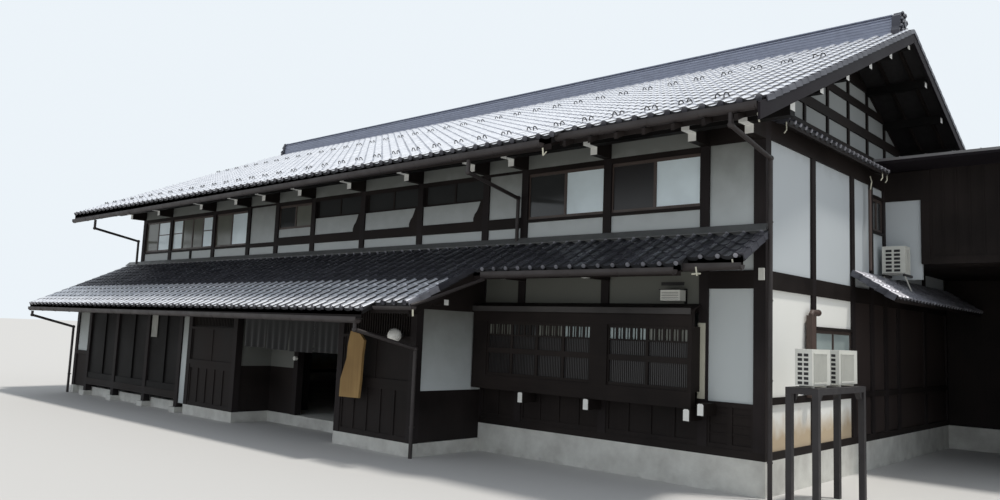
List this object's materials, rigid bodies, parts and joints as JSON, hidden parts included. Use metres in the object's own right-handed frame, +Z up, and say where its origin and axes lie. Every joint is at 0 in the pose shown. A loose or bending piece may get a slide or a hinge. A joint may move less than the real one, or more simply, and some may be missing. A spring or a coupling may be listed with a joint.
{
  "type": "machiya townhouse",
  "caption": "Two-storey timber townhouse with plaster panels, tiled gable roof, a low tiled wing with an entrance recess, a lattice bay and a stub of a rear wing.",
  "frame": {"origin": "the middle of the main house's plan, on the ground", "axes": "+X along the house to the right as seen from the street, +Y to the rear, +Z up"},
  "size_m": [24.145, 14.17, 8.3053],
  "materials": {
    "dark_timber": "old dark-stained timber, matt",
    "joinery": "dark-stained joinery, matt",
    "wall_boards": "dark-stained weathered boards",
    "weathered_boards": "weathered grey-brown boards",
    "lime_plaster": "fine off-white plaster, slightly stained",
    "window_frames": "brown anodised frames",
    "window_glass": "clear window glass",
    "pale_roof_tiles": "silver-grey fired tiles with a soft shine",
    "dark_roof_tiles": "dark slate-grey fired tiles with a soft shine",
    "brown_gutter": "brown-grey, weathered",
    "painted_casing": "off-white enamel",
    "stand_paint": "dark brown paint",
    "base_stone": "pale rendered stone",
    "floor_boards": "worn floor boards",
    "curtain_cloth": "dark grey cloth",
    "sign_wood": "aged pale wood",
    "lamp_glass": "opal glass",
    "sheet_roof": "grey sheet metal"
  },
  "bodies": {
    "root": {"foundation": "base_stone", "ground_floor": "base_stone", "wing_floor": "base_stone", "upper_floor": "floor_boards", "main_posts": "dark_timber", "front_beams": "dark_timber", "side_beams": "dark_timber", "gable_struts": "dark_timber", "front_plaster": "lime_plaster", "side_plaster": "lime_plaster", "rear_plaster": "lime_plaster", "wall_boards": "wall_boards", "upper_sashes": "window_frames", "upper_glass": "window_glass", "lower_sashes": "window_frames", "lower_glass": "window_glass", "lattice_bay": "joinery", "bay_sashes": "joinery", "bay_glass": "window_glass", "wing_posts": "dark_timber", "wing_beams": "dark_timber", "wing_plaster": "lime_plaster", "storm_shutters": "joinery", "wing_lattices": "joinery", "entrance_curtain": "curtain_cloth", "sign_plank": "sign_wood", "lamps": "lamp_glass", "main_roof_front": "pale_roof_tiles", "main_roof_rear": "pale_roof_tiles", "main_ridge": "dark_roof_tiles", "ridge_ornaments": "dark_roof_tiles", "bargeboards": "weathered_boards", "purlins": "dark_timber", "rafters": "dark_timber", "wall_brackets": "dark_timber", "wing_roof": "dark_roof_tiles", "pent_roof": "dark_roof_tiles", "gable_pents": "dark_roof_tiles", "gutters": "brown_gutter", "downpipes": "brown_gutter", "air_conditioners": "painted_casing", "unit_stand": "stand_paint", "wall_fittings": "painted_casing", "rear_wing_walls": "wall_boards", "rear_wing_roof": "sheet_roof"}
  },
  "joints": []
}
